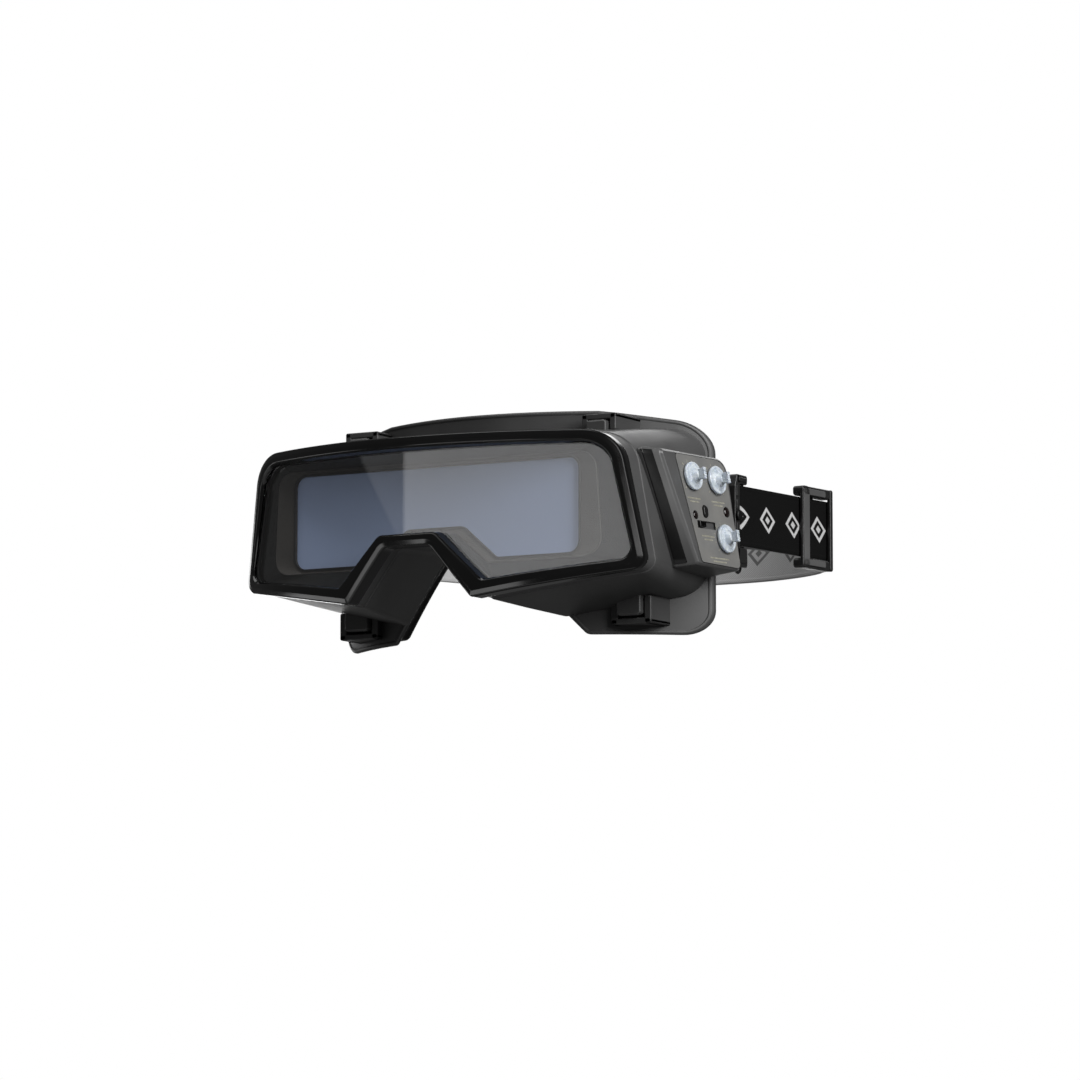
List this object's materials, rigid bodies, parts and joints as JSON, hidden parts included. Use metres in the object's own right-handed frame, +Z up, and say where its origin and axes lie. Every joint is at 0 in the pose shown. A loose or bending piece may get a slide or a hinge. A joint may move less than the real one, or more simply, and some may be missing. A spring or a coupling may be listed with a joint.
{
  "type": "welding goggles",
  "caption": "Wide-view welding goggles with a nose notch, darkening filter window, side control pod with turning knobs, face seal on a removable carrier, and an adjustable head strap.",
  "frame": {"origin": "middle of the face seal's rear contact plane, between the eyes", "axes": "+X to the wearer's left, +Y back towards the wearer, +Z up"},
  "size_m": [0.2265, 0.249, 0.099],
  "materials": {
    "frame_gloss": "polished black nylon",
    "clear_lens": "clear polycarbonate, polished",
    "gasket_rubber": "matt black silicone",
    "housing_plastic": "satin dark grey moulded nylon",
    "bezel_matte": "fine matt black",
    "filter_glass": "blue-grey coated filter glass",
    "sensor_gloss": "dark glossy sensor window",
    "carrier_rubber": "soft dark grey rubber, matt",
    "seal_foam": "black flocked foam",
    "pod_plastic": "satin black moulded nylon",
    "panel_grey": "satin grey label film",
    "knob_translucent": "pale translucent nylon",
    "steel": "plain steel",
    "board_green": "green circuit board",
    "led_lens": "dark red lens",
    "button_black": "satin black",
    "flex_amber": "amber polyimide film",
    "webbing": "woven elastic webbing, black outside and grey inside",
    "buckle_black": "satin black acetal"
  },
  "bodies": {
    "goggles": {"front_frame": "frame_gloss", "cover_lens": "clear_lens", "lens_gasket": "gasket_rubber", "housing_shell": "housing_plastic", "filter_bezel": "bezel_matte", "darkening_filter": "filter_glass", "liquid_crystal_cell": "filter_glass", "cartridge_case": "bezel_matte", "inner_cover_lens": "clear_lens", "inner_frame": "bezel_matte", "arc_sensor_left": "sensor_gloss", "arc_sensor_right": "sensor_gloss", "seal_carrier": "carrier_rubber", "face_seal": "seal_foam", "control_pod": "pod_plastic", "panel_label": "panel_grey", "shade_potentiometer": "steel", "sensitivity_potentiometer": "steel", "delay_potentiometer": "steel", "control_board": "board_green", "low_battery_led": "led_lens", "status_led": "led_lens", "tact_switch": "steel", "switch_body": "steel", "flex_cable": "flex_amber", "battery_pod": "pod_plastic", "battery": "steel", "pod_screw_left_upper": "steel", "pod_screw_left_lower": "steel", "pod_screw_right_upper": "steel", "pod_screw_right_lower": "steel"},
    "shade_knob": {"shade_knob": "knob_translucent"},
    "sensitivity_knob": {"sensitivity_knob": "knob_translucent"},
    "delay_knob": {"delay_knob": "knob_translucent"},
    "mode_switch": {"mode_switch": "button_black"},
    "test_button": {"test_button": "button_black"},
    "battery_door": {"battery_door": "pod_plastic"},
    "strap": {"strap": "webbing", "strap_anchor_left": "buckle_black", "strap_anchor_right": "buckle_black", "pivot_pin_left": "steel", "pivot_pin_right": "steel"},
    "slider": {"strap_slider": "buckle_black"}
  },
  "joints": [
    {"name": "shade_turn", "type": "hinge", "parent": "goggles", "child": "shade_knob", "pos_m": [0.10185, -0.0012, 0.0142], "axis": [0.9841, -0.0984, 0.1476], "range_deg": [-135, 135]},
    {"name": "sensitivity_turn", "type": "hinge", "parent": "goggles", "child": "sensitivity_knob", "pos_m": [0.10369, 0.0172, 0.0142], "axis": [0.9841, -0.0984, 0.1476], "range_deg": [-135, 135]},
    {"name": "delay_turn", "type": "hinge", "parent": "goggles", "child": "delay_knob", "pos_m": [0.10769, 0.0183, -0.0117], "axis": [0.9841, -0.0984, 0.1476], "range_deg": [-135, 135]},
    {"name": "mode_slide", "type": "slide", "parent": "goggles", "child": "mode_switch", "axis": [0.0973, 0.9951, 0.0146], "range_m": [0, 0.008]},
    {"name": "test_press", "type": "slide", "parent": "goggles", "child": "test_button", "axis": [-0.9841, 0.0984, -0.1476], "range_m": [0, 0.0008], "stiffness_N_per_m": 150, "springref_m": -0.0006},
    {"name": "battery_door_twist", "type": "hinge", "parent": "goggles", "child": "battery_door", "pos_m": [-0.1049, 0.008, 0], "axis": [-0.9841, -0.0984, 0.1476], "range_deg": [0, 45]},
    {"name": "strap_tilt", "type": "hinge", "parent": "goggles", "child": "strap", "pos_m": [0, 0.0368, 0.001], "axis": [1, 0, 0], "range_deg": [-12, 12]},
    {"name": "slider_slide", "type": "slide", "parent": "strap", "child": "slider", "axis": [0.0912, 0.9958, 0], "range_m": [-0.017, 0]}
  ]
}
